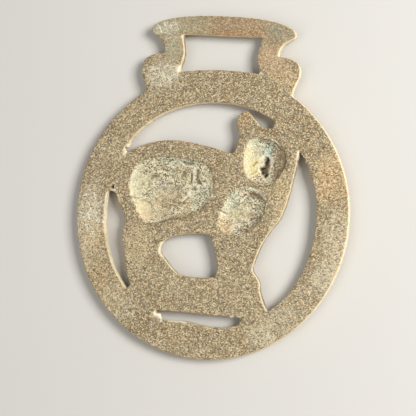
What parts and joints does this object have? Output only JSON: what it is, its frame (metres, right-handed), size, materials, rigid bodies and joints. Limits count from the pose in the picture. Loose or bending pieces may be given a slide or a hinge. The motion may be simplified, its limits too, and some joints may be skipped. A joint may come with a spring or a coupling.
{
  "type": "horse brass",
  "caption": "Round cast harness ornament with a slotted strap hanger above a plain band and an openwork standing horse inside it, lying on its modelled face with the hollowed back up.",
  "frame": {"origin": "on the surface the brass lies on, under the middle of its whole length and width", "axes": "+Y from the band's middle towards the hanger, +Z out of the hollowed back, +X the way the horse faces seen from the back"},
  "size_m": [0.075, 0.0896, 0.0038],
  "materials": {
    "aged_brass": "as-cast back, dull khaki tan with fine pits, greenish grey in the hollows"
  },
  "bodies": {
    "root": {"horse_brass": "aged_brass"}
  },
  "joints": []
}
